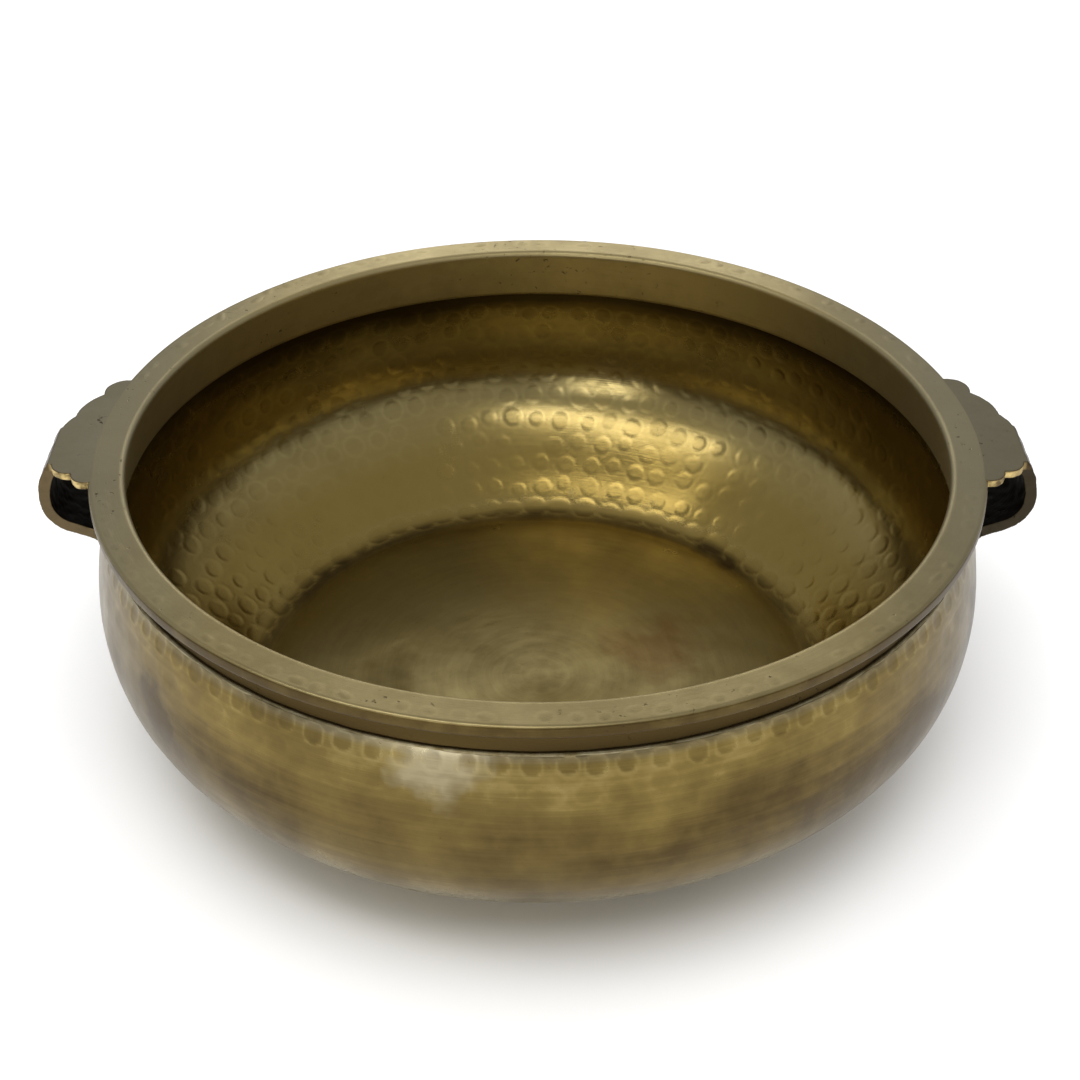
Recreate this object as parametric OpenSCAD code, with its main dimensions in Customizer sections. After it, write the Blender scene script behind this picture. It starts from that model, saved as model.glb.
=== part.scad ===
// Hammered brass urli: a wide, low vessel with a turned rim collar and two
// cast loop handles. Origin at the centre of the base, +Z up, handles on +X and -X.

/* [Vessel] */
// Height from the base to the flat top of the rim
bowl_h = 145; // [130:1:165]
// Diameter across the widest part of the belly
belly_d = 415.2; // [412:0.2:424]
// Height of the widest part of the belly above the base
belly_z = 81; // [74:1:88]
// Diameter of the flat base
base_d = 272; // [260:1:280]
// Thickness of the hammered wall and floor
wall_t = 2.4; // [1.8:0.1:3]
// Wall thickness left at the filed mouth edge
mouth_t = 1.5; // [1:0.1:1.8]

/* [Rim collar] */
// Outer diameter of the rim
rim_d = 410; // [406:1:412]
// Width of the flat top of the rim
flange_w = 16.4; // [14:0.2:18]
// Height of the outer edge of the rim
lip_h = 6.3; // [5:0.1:8]
// How far the neck stands back from the rim's outer edge
neck_inset = 9.2; // [8:0.1:10]
// Depth of the inner band below the top of the rim
band_h = 28.2; // [24:0.2:32]
// How much the band widens from the mouth to its lower edge
band_flare = 5; // [3:0.1:6]
// Rounding of the rim's inner edge
inner_round = 2.5; // [1:0.5:4]
// Rounding of the rim's outer edge
outer_round = 1.5; // [0.5:0.5:2.5]
// Rounding where the underside of the rim meets the neck
cove_r = 4; // [2:0.5:5]
// Radius of the hollow curve of the neck below that
neck_hollow_r = 22; // [20:1:40]
// Depth of the vessel's mouth edge below the top of the rim
mouth_drop = 19.5; // [18:0.1:21]

/* [Handles] */
// Thickness of the scalloped plate
plate_t = 3.8; // [2.5:0.1:4]
// Thickness of the loop
strap_t = 5.6; // [4:0.1:6.5]
// Width of the loop along the rim
strap_w = 31.5; // [26:0.5:34]
// How far the middle of the loop lies in front of the middle of the bowl
strap_shift = 6.8; // [5:0.2:8]
// How far the loop stands out from the rim
loop_reach = 24.6; // [22:0.2:27]
// Height of the loop's widest point
loop_z = 124; // [121:0.5:127]
// Outer radius of the loop's side
side_r = 36; // [32:0.5:40]
// Outer radius of the loop's lower bend
bend_r = 17.8; // [16:0.2:20]
// Angle that the lower bend turns through
bend_turn = 69; // [64:1:74]

/* [Brazed seams] */
// Size of the bead of brass round the mouth
seam_w = 1.3; // [1:0.1:1.8]
// Size of the bead between a plate and the rim's edge
rim_bead = 2.8; // [2:0.2:3.4]
// Half the angle that the bead under a plate covers
bead_half_angle = 11.6; // [8:0.2:12]
// Size of the bead under the foot of a loop
foot_bead = 4; // [3:0.5:5]
// Half the angle that the bead under a foot covers
foot_half_angle = 4; // [3:0.2:4.2]

/* [Hidden] */
$fn = 288;

brass_body = [0.52, 0.44, 0.24];
brass_rim = [0.60, 0.53, 0.36];
brass_handle = [0.47, 0.43, 0.33];
brass_bead = [0.40, 0.33, 0.19];

rim_r = rim_d / 2;
neck_r = rim_r - neck_inset;
rim_in_r = rim_r - flange_w;
band_in_r = rim_in_r + band_flare;
belly_r = belly_d / 2;
base_r = base_d / 2;
mouth_z = bowl_h - mouth_drop;
band_z = bowl_h - band_h;
lip_z = bowl_h - lip_h;

// The neck curves out again from its narrowest point down to the mouth edge
neck_waist_z = lip_z - cove_r;
neck_turn = asin((neck_waist_z - mouth_z) / neck_hollow_r);
neck_foot_r = neck_r + neck_hollow_r * (1 - cos(neck_turn));
mouth_r = neck_foot_r + mouth_t;

// The mouth of the vessel laps over the outside of the band on a cone
lap_spread = 1.6;
lap_r = neck_foot_r + lap_spread;

// Where the straight lower belly gives way to the rounded heel
heel_in = 24;
heel_z = 12.6;
heel_r = base_r + heel_in;

// Control points of the three curves of the outer wall, from the mouth down
shoulder = [
    [mouth_r, mouth_z],
    [mouth_r + 3.2, mouth_z - 6.5],
    [belly_r, belly_z + 11.5],
    [belly_r, belly_z]
];
belly = [
    [belly_r, belly_z],
    [belly_r, belly_z * 0.515],
    [heel_r + 24.3, heel_z + 19.6],
    [heel_r, heel_z]
];
heel = [
    [heel_r, heel_z],
    [heel_r - 8, heel_z - 6.45],
    [base_r + 8, 0],
    [base_r, 0]
];
shoulder_steps = 10;
belly_steps = 16;
heel_steps = 7;

// Loop of a handle: a wide arc down its side, a tighter bend, and a straight tail
loop_x = rim_r + loop_reach;
side_x = loop_x - side_r;
bend_x = loop_x - bend_r;
side_steps = 8;
bend_steps = 12;
tail_l = 20;
// How far the wall stands out from the rim where the tail meets it
foot_gap = 1.4;

// The scallops of a plate, as [centre outwards, centre along the rim, radius]
scallops = [
    [rim_r - 6.6, 42.2, 10.2],
    [rim_r - 12.6, 18.8, 25.6],
    [rim_r - 8.2, 4.3, 25.9],
    [rim_r + 7.2, -22, 8.6],
    [rim_r - 2, -30.5, 7.6]
];
// Opposite corners of the plain middle of a plate, behind the scallops
plate_mid = [[rim_r - 5, -26], [rim_r + 7, 18]];
// The middle of a plate's length along the rim, as an angle
plate_mid_angle = 1.9;
foot_mid_angle = -asin(strap_shift / rim_r);

// Point and direction on a cubic Bezier curve
function bez(p, t) =
    p[0] * pow(1 - t, 3) + 3 * p[1] * t * pow(1 - t, 2)
    + 3 * p[2] * t * t * (1 - t) + p[3] * pow(t, 3);
function bez_dir(p, t) =
    3 * (p[1] - p[0]) * pow(1 - t, 2) + 6 * (p[2] - p[1]) * t * (1 - t)
    + 3 * (p[3] - p[2]) * t * t;

// Points along a curve, moved inwards by a depth, from step first to step last
function wall(p, depth, steps, first, last) = [
    for (i = [first:last])
        let (t = i / steps, d = bez_dir(p, t), n = [-d[1], d[0]] / norm(d))
            bez(p, t) - n * depth
];
function arc(c, r, from, to, steps) = [
    for (i = [0:steps])
        let (a = from + (to - from) * i / steps)
            c + r * [cos(a), sin(a)]
];
function reversed(list) = [for (i = [len(list) - 1:-1:0]) list[i]];
function wall_line(depth) = concat(
    wall(shoulder, depth, shoulder_steps, 0, shoulder_steps),
    wall(belly, depth, belly_steps, 1, belly_steps),
    wall(heel, depth, heel_steps, 1, heel_steps)
);

outer_line = wall_line(0);
inner_line = [for (p = wall_line(wall_t)) if (p[1] < band_z - 1) p];

collar_line = concat(
    arc([rim_in_r + inner_round, bowl_h - inner_round], inner_round, 180, 90, 6),
    arc([rim_r - outer_round, bowl_h - outer_round], outer_round, 90, 0, 4),
    arc([rim_r - outer_round, lip_z + outer_round], outer_round, 0, -90, 4),
    arc([neck_r + cove_r, neck_waist_z], cove_r, 90, 180, 5),
    arc([neck_r + neck_hollow_r, neck_waist_z], neck_hollow_r, 180, 180 + neck_turn, 5),
    [[lap_r, band_z], [band_in_r, band_z]]
);

// Solid of everything inside the outer wall, used to trim what is brazed on
module wall_envelope() {
    rotate_extrude()
        polygon(concat([[0, mouth_z]], outer_line, [[0, 0]]));
}

module collar_ring() {
    rotate_extrude()
        polygon(collar_line);
}

module bowl_body() {
    color(brass_body)
        rotate_extrude()
            polygon(concat(
                [[neck_foot_r, mouth_z]], outer_line, [[0, 0], [0, wall_t]],
                reversed(inner_line), [[lap_r, band_z]]
            ));
}

module rim_collar() {
    color(brass_rim)
        collar_ring();
}

// Bead that fills the step between the neck and the filed mouth edge
module mouth_seam() {
    color(brass_bead)
        difference() {
            rotate_extrude()
                polygon(concat(
                    [[neck_foot_r, mouth_z]],
                    arc([neck_foot_r, mouth_z], seam_w, 0, 120, 6)
                ));
            collar_ring();
        }
}

module plate_outline() {
    difference() {
        union() {
            for (scallop = scallops)
                translate([scallop[0], scallop[1]])
                    circle(scallop[2]);
            translate(plate_mid[0])
                square(plate_mid[1] - plate_mid[0]);
        }
        circle(rim_r - outer_round);
    }
}

// Two points of the straight tail, inset by a depth from the loop's outer face
function tail(depth) = let (
    end = [bend_x, loop_z] + (bend_r - depth) * [cos(bend_turn), -sin(bend_turn)]
) [end, end - tail_l * [sin(bend_turn), cos(bend_turn)]];

// Angle at which an arc of the loop's side passes a height
function side_angle(r, z) = asin((z - loop_z) / r);

module loop_section() {
    inner_side_r = side_r - strap_t;
    plate_under = bowl_h - plate_t;
    polygon(concat(
        [[rim_r - outer_round, bowl_h]],
        arc([side_x, loop_z], side_r, side_angle(side_r, bowl_h), 0, side_steps),
        arc([bend_x, loop_z], bend_r, 0, -bend_turn, bend_steps),
        [tail(0)[1], tail(strap_t)[1]],
        arc([bend_x, loop_z], bend_r - strap_t, -bend_turn, 0, bend_steps),
        arc([side_x, loop_z], inner_side_r, 0, side_angle(inner_side_r, plate_under), side_steps),
        [[rim_r - outer_round, plate_under]]
    ));
}

// Sweeps a shape drawn outwards and up by a width along the rim
module along_rim(width) {
    translate([0, width / 2 - strap_shift, 0])
        rotate([90, 0, 0])
            linear_extrude(width)
                children();
}

module handle_blank() {
    translate([0, 0, bowl_h - plate_t])
        linear_extrude(plate_t)
            plate_outline();
    along_rim(strap_w)
        loop_section();
}

module handle() {
    difference() {
        handle_blank();
        collar_ring();
        wall_envelope();
    }
}

// Bead under a plate, along the rim's outer edge
module rim_braze() {
    plate_under = bowl_h - plate_t;
    difference() {
        rotate([0, 0, plate_mid_angle - bead_half_angle])
            rotate_extrude(angle = 2 * bead_half_angle)
                polygon([
                    [rim_r - outer_round, plate_under],
                    [rim_r + rim_bead, plate_under],
                    [rim_r + rim_bead * 0.35, plate_under - rim_bead * 0.65],
                    [rim_r - outer_round, plate_under - rim_bead]
                ]);
        collar_ring();
    }
}

// Bead in the corner between the wall and the underside of a loop's tail
module foot_braze() {
    start = tail(0)[0];
    foot_r = rim_r + foot_gap;
    foot_z = start[1] - (start[0] - foot_r) / tan(bend_turn);
    under = foot_z - foot_bead;
    toe = foot_r + foot_bead * 0.75;
    difference() {
        rotate([0, 0, foot_mid_angle - foot_half_angle])
            rotate_extrude(angle = 2 * foot_half_angle)
                polygon([
                    [foot_r - foot_bead, foot_z],
                    [toe, foot_z + foot_bead * 0.75 / tan(bend_turn)],
                    [foot_r + foot_bead * 0.3, foot_z - foot_bead * 0.4],
                    [foot_r + foot_bead * 0.1, under],
                    [foot_r - foot_bead, under]
                ]);
        wall_envelope();
        handle_blank();
    }
}

module handle_right() {
    color(brass_handle)
        handle();
}

module handle_left() {
    color(brass_handle)
        mirror([1, 0, 0])
            handle();
}

module rim_braze_right() {
    color(brass_bead)
        rim_braze();
}

module rim_braze_left() {
    color(brass_bead)
        mirror([1, 0, 0])
            rim_braze();
}

module foot_braze_right() {
    color(brass_bead)
        foot_braze();
}

module foot_braze_left() {
    color(brass_bead)
        mirror([1, 0, 0])
            foot_braze();
}

bowl_body();
rim_collar();
mouth_seam();
handle_left();
handle_right();
rim_braze_left();
rim_braze_right();
foot_braze_left();
foot_braze_right();
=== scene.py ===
"""Looks of the brass urli: a hammered vessel, a turned rim collar, two cast loop
handles and the brazed seams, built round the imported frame.

Shapes are worked out in millimetres and written to the meshes in metres. The materials
and the studio are in metres throughout, except where a function says millimetres.
"""
import math

import bpy
import numpy as np
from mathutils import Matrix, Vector


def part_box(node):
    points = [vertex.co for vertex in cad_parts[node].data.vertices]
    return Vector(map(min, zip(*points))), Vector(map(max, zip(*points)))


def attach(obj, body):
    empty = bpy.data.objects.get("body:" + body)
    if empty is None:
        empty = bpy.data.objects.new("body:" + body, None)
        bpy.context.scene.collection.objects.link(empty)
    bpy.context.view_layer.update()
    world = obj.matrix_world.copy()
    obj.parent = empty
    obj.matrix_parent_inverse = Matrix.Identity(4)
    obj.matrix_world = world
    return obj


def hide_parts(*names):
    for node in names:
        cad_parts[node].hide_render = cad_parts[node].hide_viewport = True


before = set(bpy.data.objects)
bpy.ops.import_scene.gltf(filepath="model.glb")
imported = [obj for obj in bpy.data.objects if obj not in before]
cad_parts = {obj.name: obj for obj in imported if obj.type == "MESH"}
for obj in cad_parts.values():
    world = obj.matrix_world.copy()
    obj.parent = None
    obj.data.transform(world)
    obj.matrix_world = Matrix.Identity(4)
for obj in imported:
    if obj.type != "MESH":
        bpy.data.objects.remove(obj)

MM = 0.001
TURN = 2 * math.pi
rng = np.random.default_rng(20417)

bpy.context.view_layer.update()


def corners_mm(node):
    """Lowest and highest corners of a CAD node, in millimetres."""
    return [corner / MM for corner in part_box(node)]


# Sizes read from the frame
collar_low, collar_high = corners_mm("rim_collar")
body_high = corners_mm("bowl_body")[1]
TOP_Z = collar_high.z
RIM_R = collar_high.x
BAND_Z = collar_low.z
MOUTH_Z = body_high.z
BELLY_R = body_high.x
LOOP_X = corners_mm("handle_right")[1].x

# The vessel
BELLY_Z = 81
BASE_R = 136
HEEL_R = BASE_R + 24
HEEL_Z = 12.6
WALL = 2.4
MOUTH_WALL = 1.5
FLOOR_RING_R = 147.5

# The rim collar
FLANGE_W = 16.4
LIP_H = 6.3
NECK_R = RIM_R - 9.2
BAND_FLARE = 5
INNER_ROUND = 2.5
OUTER_ROUND = 1.5
COVE_R = 4
NECK_HOLLOW_R = 22
LAP_SPREAD = 1.6
RIM_IN_R = RIM_R - FLANGE_W
LIP_Z = TOP_Z - LIP_H
WAIST_Z = LIP_Z - COVE_R
NECK_TURN = math.degrees(math.asin((WAIST_Z - MOUTH_Z) / NECK_HOLLOW_R))
NECK_FOOT_R = NECK_R + NECK_HOLLOW_R * (1 - math.cos(math.radians(NECK_TURN)))
LAP_R = NECK_FOOT_R + LAP_SPREAD
MOUTH_R = NECK_FOOT_R + MOUTH_WALL

# The handles
PLATE_T = 3.8
SCALLOPS = [(RIM_R - 6.6, 42.2, 10.2), (RIM_R - 12.6, 18.8, 25.6), (RIM_R - 8.2, 4.3, 25.9),
            (RIM_R + 7.2, -22, 8.6), (RIM_R - 2, -30.5, 7.6)]
PLATE_MID = 1.9
PLATE_HALF = math.radians(14.5)
STRAP_T = 5.6
STRAP_W = 31.5
STRAP_SHIFT = 6.8
LOOP_Z = 124
SIDE_R = 36
BEND_R = 17.8
BEND_TURN = 69
FOOT_MID = -STRAP_SHIFT / RIM_R
FOOT_Z = 102.9
PLATE_IN_R = RIM_R - OUTER_ROUND - 0.9
FLUSH_DROP = 0.012
VOXEL = 0.45

# The hammer marks: how many there are, and how far apart
RING_DENTS = 68
MARK_ROWS = 9
MARK_SPACING = 13.8
MARKS_MISSED = 0.03
FIRST_ROW_GAP = 12
LAST_ROW_DROP = 16
FLOOR_ROW_GAP = 8.5
FLOOR_DENT_SPACING = 17
FLOOR_DENTS_MISSED = 0.3
ROSETTE_DENTS = 9
SEAM_MARK_DROP = 4.2
SEAM_MARK_SPACING = 12.7
SECOND_ROW_DROP = 15.5
SECOND_ROW_SPACING = 16
FACET_SPACING = 13
FACET_ROW_GAP = 11.5
RIM_DENTS = 111
RIM_DENT_R = 199.8
RIM_DENTS_MISSED = 0.2
BAND_DENTS = 150

# How finely the vessel and the collar are meshed
WALL_COUNT = 1152
FLOOR_COUNT_R = 150
BASE_COUNT_R = FLOOR_COUNT_R / 1.4
SHOULDER_END_Z = 90
FLOOR_STEP = 1.4
WALL_STEP = 1.15
BELLY_STEP = 1.9


# ---------------------------------------------------------------- outlines

def arc(centre_r, centre_z, radius, start, end, steps):
    """Points round an arc, angles in degrees."""
    a = np.radians(np.linspace(start, end, steps + 1))
    return np.column_stack([centre_r + radius * np.cos(a), centre_z + radius * np.sin(a)])


def bezier(points, steps):
    """Points along a cubic curve with four control points."""
    p = np.array(points, float)
    t = np.linspace(0, 1, steps + 1)[:, None]
    return (p[0] * (1 - t) ** 3 + 3 * p[1] * t * (1 - t) ** 2
            + 3 * p[2] * t ** 2 * (1 - t) + p[3] * t ** 3)


def along(line):
    """Distance of each point from the first, along the line."""
    steps = np.linalg.norm(np.diff(line, axis=0), axis=1)
    return np.concatenate([[0], np.cumsum(steps)])


def respaced(line, spacing):
    """The same line with its points an even distance apart, about spacing."""
    s = along(line)
    even = np.linspace(0, s[-1], max(2, int(round(s[-1] / spacing)) + 1))
    return np.column_stack([np.interp(even, s, line[:, k]) for k in (0, 1)])


def left_normals(line, closed=False):
    """Unit normals on the left of a line of points."""
    if closed:
        d = np.roll(line, -1, axis=0) - np.roll(line, 1, axis=0)
    else:
        d = np.gradient(line, axis=0)
    n = np.column_stack([-d[:, 1], d[:, 0]])
    return n / np.linalg.norm(n, axis=1)[:, None]


def outer_wall():
    """The vessel's outer line, from the mouth down to the edge of the base."""
    shoulder = bezier([(MOUTH_R, MOUTH_Z), (MOUTH_R + 3.2, MOUTH_Z - 6.5),
                       (BELLY_R, BELLY_Z + 11.5), (BELLY_R, BELLY_Z)], 80)
    belly = bezier([(BELLY_R, BELLY_Z), (BELLY_R, BELLY_Z * 0.515),
                    (HEEL_R + 24.3, HEEL_Z + 19.6), (HEEL_R, HEEL_Z)], 120)
    heel = bezier([(HEEL_R, HEEL_Z), (HEEL_R - 8, HEEL_Z - 6.45),
                   (BASE_R + 8, 0), (BASE_R, 0)], 50)
    return np.vstack([shoulder, belly[1:], heel[1:]])


def inner_wall(outer):
    """The vessel's inner line, from the edge of the floor up to the collar."""
    line = (outer - left_normals(outer) * WALL)[::-1]
    return line[line[:, 1] < BAND_Z - 1]


# ---------------------------------------------------------------- meshes

def mesh_object(name, points, faces, values=None, crease=40):
    """An object from points in millimetres and face arrays, with point attributes."""
    mesh = bpy.data.meshes.new(name)
    points = np.asarray(points, float) * MM
    mesh.vertices.add(len(points))
    mesh.vertices.foreach_set("co", points.ravel())
    corners = np.concatenate([f.ravel() for f in faces])
    sizes = np.concatenate([np.full(len(f), f.shape[1]) for f in faces])
    mesh.loops.add(len(corners))
    mesh.loops.foreach_set("vertex_index", corners)
    mesh.polygons.add(len(sizes))
    mesh.polygons.foreach_set("loop_start", np.concatenate([[0], np.cumsum(sizes)[:-1]]))
    mesh.update(calc_edges=True)
    mesh.validate()
    for key, value in (values or {}).items():
        mesh.attributes.new(key, "FLOAT", "POINT").data.foreach_set("value", value)
    mesh.shade_smooth()
    mesh.set_sharp_from_angle(angle=math.radians(crease))
    piece = bpy.data.objects.new(name, mesh)
    bpy.context.scene.collection.objects.link(piece)
    return piece


class Turned:
    """A solid of revolution as rings of points, into which marks can be pressed.

    line holds a ring's radius and height, counts its number of points. A closed line
    makes a ring-shaped solid. An open one runs from the axis back to the axis.
    """

    def __init__(self, line, counts, closed=False):
        self.line = np.asarray(line, float)
        self.counts = np.asarray(counts, int)
        self.closed = closed
        self.s = along(self.line)
        self.starts = np.concatenate([[0], np.cumsum(self.counts)[:-1]])
        self.ring = np.repeat(np.arange(len(self.counts)), self.counts)
        within = np.arange(self.counts.sum()) - self.starts[self.ring]
        self.angle = within / self.counts[self.ring] * TURN
        self.normal = left_normals(self.line, closed)[self.ring]
        self.hollow = np.zeros(len(self.ring))
        self.raised = np.zeros(len(self.ring))
        self.swell = np.zeros(len(self.ring))

    def worn(self):
        """How much of a worn, raised rim each point has, from 0 to 1."""
        return np.clip(self.raised / 0.04, 0, 1) * (1 - np.clip(self.hollow / 0.04, 0, 1))

    def place(self, height, rings):
        """Distance along the line where it passes a height, looking only at some rings."""
        z = self.line[rings, 1]
        order = np.argsort(z)
        return float(np.interp(height, z[order], self.s[rings][order]))

    def press(self, s, angle, across, down, depth, lip=0.0, power=2.0, square=2.0, turn=0.0):
        """Presses one mark: half-sizes across and down, depth, and the height of its lip."""
        reach = 1.5 * max(across, down) + 1
        first, last = np.searchsorted(self.s, [s - reach, s + reach])
        c, sn = math.cos(turn), math.sin(turn)
        for i in range(first, last):
            r = max(self.line[i, 0], 1.0)
            n = self.counts[i]
            half = min(reach / (TURN * r / n), n / 2)
            at_angle = angle / TURN * n
            js = np.arange(math.floor(at_angle - half), math.ceil(at_angle + half))
            u = (js / n * TURN - angle) * r
            v = self.s[i] - s
            a = np.abs(c * u + sn * v) / across
            b = np.abs(c * v - sn * u) / down
            q = (a ** square + b ** square) ** (1 / square)
            at = self.starts[i] + js % n
            pit = depth * np.clip(1 - q ** power, 0, None)
            self.hollow[at] = np.maximum(self.hollow[at], pit)
            if lip:
                ridge = lip * np.exp(-((q - 1.1) * across / 0.85) ** 2)
                self.raised[at] = np.maximum(self.raised[at], ridge)

    def waver(self, height, around, up):
        """Slow unevenness left by handwork: a few waves round and along the surface."""
        terms = 10
        for _ in range(terms):
            m = rng.integers(1, around)
            k = rng.uniform(-up, up)
            phase = rng.uniform(0, TURN)
            wave = np.sin(m * self.angle + k * self.s[self.ring] + phase)
            self.swell += height / math.sqrt(terms) * wave

    def points(self):
        """All the points, with the marks pressed in and nothing below the standing surface."""
        deepest = max(self.hollow.max(), 1e-6)
        lift = self.swell + self.raised * (1 - self.hollow / deepest) - self.hollow
        place = self.line[self.ring] + self.normal * lift[:, None]
        return np.column_stack([
            place[:, 0] * np.cos(self.angle), place[:, 0] * np.sin(self.angle),
            np.maximum(place[:, 1], 0)])

    def faces(self):
        """Quads between rings of equal counts, and triangles where the count doubles."""
        quads, triangles = [], []
        rings = len(self.counts)
        for i in range(rings if self.closed else rings - 1):
            k = (i + 1) % rings
            n, m = self.counts[i], self.counts[k]
            j = np.arange(max(n, m))
            low = self.starts[i] + (j * n // max(n, m)) % n
            high = self.starts[k] + (j * m // max(n, m)) % m
            low_next = self.starts[i] + ((j + 1) * n // max(n, m)) % n
            high_next = self.starts[k] + ((j + 1) * m // max(n, m)) % m
            if n == m:
                quads.append(np.column_stack([low, high, high_next, low_next]))
                continue
            first = np.column_stack([low, high, high_next])
            second = np.column_stack([low, high_next, low_next])
            triangles += [first[high != high_next], second[low != low_next]]
        return [np.vstack(part) for part in (quads, triangles) if part]


def fine_count(radius, finest, reach):
    """Points on a ring: halved each time that its radius falls by half."""
    halvings = max(0, math.ceil(math.log2(reach / max(radius, 0.01))))
    return max(18, finest >> halvings)


# ---------------------------------------------------------------- vessel

def vessel_rings():
    """Rings of the vessel from the middle of the floor, up inside, and down outside."""
    outer = outer_wall()
    inner = inner_wall(outer)
    wall = respaced(inner, WALL_STEP)
    floor = respaced(np.array([[0.0, WALL], [wall[0, 0], WALL]]), FLOOR_STEP)[:-1]
    lap = respaced(np.array([[LAP_R, BAND_Z], [NECK_FOOT_R, MOUTH_Z]]), 2)
    mouth = respaced(np.array([[NECK_FOOT_R, MOUTH_Z], [MOUTH_R, MOUTH_Z]]), 0.5)[1:-1]
    shoulder = respaced(outer[outer[:, 1] > SHOULDER_END_Z], WALL_STEP)
    belly = respaced(outer[outer[:, 1] <= SHOULDER_END_Z], BELLY_STEP)
    base = respaced(np.array([[belly[-1, 0], 0.0], [0.0, 0.0]]), 3)[1:]
    zones = [floor, wall, lap, mouth, shoulder, belly, base]
    line = np.vstack(zones)
    names = np.repeat(["floor", "wall", "lap", "mouth", "shoulder", "belly", "base"],
                      [len(zone) for zone in zones])
    counts = []
    for (r, _), zone in zip(line, names):
        if r < 0.01:
            counts.append(1)
        elif zone in ("belly", "base"):
            counts.append(fine_count(r, WALL_COUNT // 2, BASE_COUNT_R))
        else:
            counts.append(fine_count(r, WALL_COUNT, FLOOR_COUNT_R))
    return line, counts, names


def hammer_inside(vessel, names):
    """Rows of round punch marks up the wall, above a ring of overlapping dents."""
    wall = np.flatnonzero(names == "wall")
    ring_s = float(np.interp(FLOOR_RING_R, vessel.line[wall, 0], vessel.s[wall]))
    for k in range(RING_DENTS):
        angle = TURN / RING_DENTS
        vessel.press(ring_s + rng.normal(0, 0.7), (k + rng.uniform(-0.12, 0.12)) * angle,
                     rng.uniform(6.8, 8), rng.uniform(4.6, 5.8), rng.uniform(0.12, 0.2), 0.07,
                     power=6)
    first_s = ring_s + FIRST_ROW_GAP
    last_s = vessel.place(BAND_Z - LAST_ROW_DROP, wall)
    for s in np.linspace(first_s, last_s, MARK_ROWS):
        radius = float(np.interp(s, vessel.s, vessel.line[:, 0]))
        count = int(round(TURN * radius / MARK_SPACING))
        shift = rng.uniform()
        for k in range(count):
            if rng.uniform() < MARKS_MISSED:
                continue
            angle = (k + shift + rng.normal(0, 0.07)) / count * TURN
            size = rng.uniform(4.1, 5.6)
            vessel.press(s + rng.normal(0, 1.2), angle, size, size * rng.uniform(0.85, 1.08),
                         rng.uniform(0.06, 0.12), rng.uniform(0.02, 0.04), power=8,
                         turn=rng.uniform(0, math.pi))


def hammer_floor(vessel):
    """Faint long dents in loose rings, and a small rosette in the middle."""
    for radius in np.arange(24, 146, FLOOR_ROW_GAP):
        count = int(TURN * radius / FLOOR_DENT_SPACING)
        for k in range(count):
            if rng.uniform() < FLOOR_DENTS_MISSED:
                continue
            vessel.press(radius + rng.normal(0, 2.2), (k + rng.uniform(-0.4, 0.4)) / count * TURN,
                         rng.uniform(5, 10), rng.uniform(2.6, 5), rng.uniform(0.02, 0.07),
                         turn=rng.normal(0, 0.35))
    for k in range(ROSETTE_DENTS):
        vessel.press(11 + rng.normal(0, 0.6), k / ROSETTE_DENTS * TURN, 4.2, 4.8, 0.06, 0.01)
    vessel.press(0, 0, 5, 5, 0.05)


def hammer_outside(vessel, names):
    """Punch marks under the seam, a fainter row below, and planished facets on the belly."""
    outside = np.flatnonzero((names == "shoulder") | (names == "belly"))
    mark_s = vessel.place(MOUTH_Z - SEAM_MARK_DROP, outside)
    count = int(round(TURN * (MOUTH_R + 1) / SEAM_MARK_SPACING))
    for k in range(count):
        vessel.press(mark_s + rng.normal(0, 0.35), (k + rng.normal(0, 0.05)) / count * TURN,
                     rng.uniform(3.5, 4.2), rng.uniform(3.9, 4.6), rng.uniform(0.1, 0.2), 0.022,
                     power=5, square=2.4)
    second_s = vessel.place(MOUTH_Z - SECOND_ROW_DROP, outside)
    count = int(round(TURN * (BELLY_R - 3) / SECOND_ROW_SPACING))
    for k in range(count):
        vessel.press(second_s + rng.normal(0, 1.2), (k + rng.normal(0, 0.12)) / count * TURN,
                     rng.uniform(5, 6.8), rng.uniform(4.2, 5.5), rng.uniform(0.05, 0.12), 0.006)
    s = second_s + 12
    last_s = vessel.place(9, outside)
    while s < last_s:
        radius = float(np.interp(s, vessel.s, vessel.line[:, 0]))
        count = int(round(TURN * radius / FACET_SPACING))
        shift = rng.uniform()
        for k in range(count):
            vessel.press(s + rng.normal(0, 1.6), (k + shift + rng.normal(0, 0.13)) / count * TURN,
                         rng.uniform(5.2, 7.4), rng.uniform(5, 7), rng.uniform(0.02, 0.06),
                         0.004, power=4, square=4, turn=rng.normal(0, 0.12))
        s += FACET_ROW_GAP


def inside_tarnish_and_shade(vessel, r, z):
    """Brighter low down and on the right, darker round the floor, and darker under the band:
    partly patina and partly painted shade, with painted shade alone just below the band.
    """
    # Darker towards the band: part patina, part painted shade.
    under_band = np.clip((z - 78) / (BAND_Z - 78), 0, 1)
    # Painted shade: the wall is darkened further over its last 15 mm below the band.
    top = np.clip((z - BAND_Z + 15) / 13, 0, 1)
    ring = np.exp(-((r - FLOOR_RING_R + 6) / 6.5) ** 2) * (z < 30)
    right = np.cos(vessel.angle) * (r / BELLY_R) ** 4
    return 0.22 + 0.95 * under_band ** 1.3 + 0.85 * ring + 0.45 * top - 0.13 * right


def outside_age(vessel, z):
    """Browner round the middle, most of all on the front right, and brighter low down."""
    near_seam = np.clip(1 - (MOUTH_Z - z) / 5, 0, 1)
    middle = np.exp(-((z - 80) / 28) ** 2)
    front_right = 0.5 + 0.5 * np.cos(vessel.angle + math.radians(55))
    low = np.clip((50 - z) / 20, 0, 1)
    return (0.76 + 0.12 * near_seam + 0.12 * middle + 0.25 * front_right * middle
            + 0.10 * np.cos(vessel.angle) ** 4 - 0.25 * low)


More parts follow.
